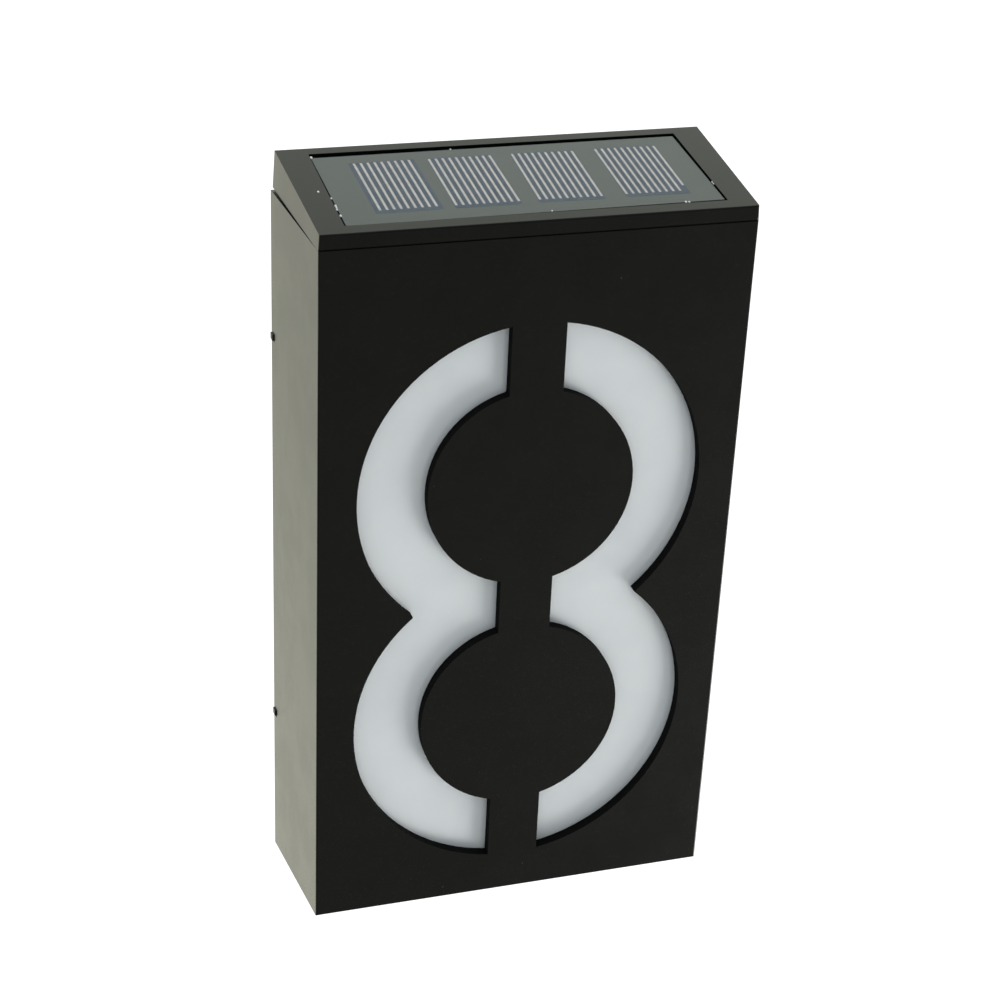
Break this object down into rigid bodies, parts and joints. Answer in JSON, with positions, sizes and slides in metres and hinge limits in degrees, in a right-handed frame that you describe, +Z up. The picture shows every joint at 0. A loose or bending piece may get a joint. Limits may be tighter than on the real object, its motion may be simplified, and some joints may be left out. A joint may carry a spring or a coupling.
{
  "type": "house number light",
  "caption": "Solar house number light: a tall black box with a stencil numeral over a white diffuser, a sloping solar lid and a hinged battery door on its wall side.",
  "frame": {"origin": "on the wall plane, midway between the round entries of the two keyholes", "axes": "+Y into the wall, the numeral faces -Y, +Z up, +X to the right seen from the front"},
  "size_m": [0.109, 0.0432, 0.1987],
  "materials": {
    "black_abs": "satin moulded ABS",
    "opal_acrylic": "opal acrylic sheet",
    "white_styrene": "white moulded styrene",
    "white_board": "white solder mask",
    "phosphor": "white body with a yellow phosphor face",
    "green_board": "green solder mask",
    "chip_black": "moulded epoxy",
    "ferrite": "dull ferrite",
    "panel_board": "grey green panel backing",
    "silicon": "dark blue silicon with pale printed fingers",
    "clear_resin": "clear poured resin",
    "foam": "closed cell foam",
    "steel_screw": "zinc plated",
    "contact_metal": "nickel plated spring steel",
    "switch_can": "tinned can",
    "knob_black": "moulded plastic",
    "cell_sleeve": "plain shrink sleeve over a metal can",
    "red_pvc": "PVC insulation",
    "black_pvc": "PVC insulation"
  },
  "bodies": {
    "light_box": {"housing": "black_abs", "lid": "black_abs", "back_plate": "black_abs", "diffuser": "opal_acrylic", "reflector": "white_styrene", "led_board": "white_board", "leds": "phosphor", "control_board": "green_board", "driver_chip": "chip_black", "inductor": "ferrite", "solar_board": "panel_board", "solar_cells": "silicon", "panel_cover": "clear_resin", "back_seal": "foam", "panel_tape": "foam", "back_plate_screws": "steel_screw", "lid_screws": "steel_screw", "reflector_screws": "steel_screw", "control_board_screws": "steel_screw", "battery_plus_contact": "contact_metal", "battery_minus_contact": "contact_metal", "slide_switch": "switch_can", "battery": "cell_sleeve", "panel_lead_red": "red_pvc", "battery_lead_red": "red_pvc", "light_lead_red": "red_pvc", "panel_lead_black": "black_pvc", "battery_lead_black": "black_pvc", "light_lead_black": "black_pvc"},
    "battery_door": {"battery_door": "black_abs"},
    "switch_knob": {"switch_knob": "knob_black"}
  },
  "joints": [
    {"name": "battery_door_hinge", "type": "hinge", "parent": "light_box", "child": "battery_door", "pos_m": [0, -0.0016, -0.0788], "axis": [1, 0, 0], "range_deg": [0, 95]},
    {"name": "switch_slide", "type": "slide", "parent": "light_box", "child": "switch_knob", "axis": [1, 0, 0], "range_m": [0, 0.0025]}
  ]
}
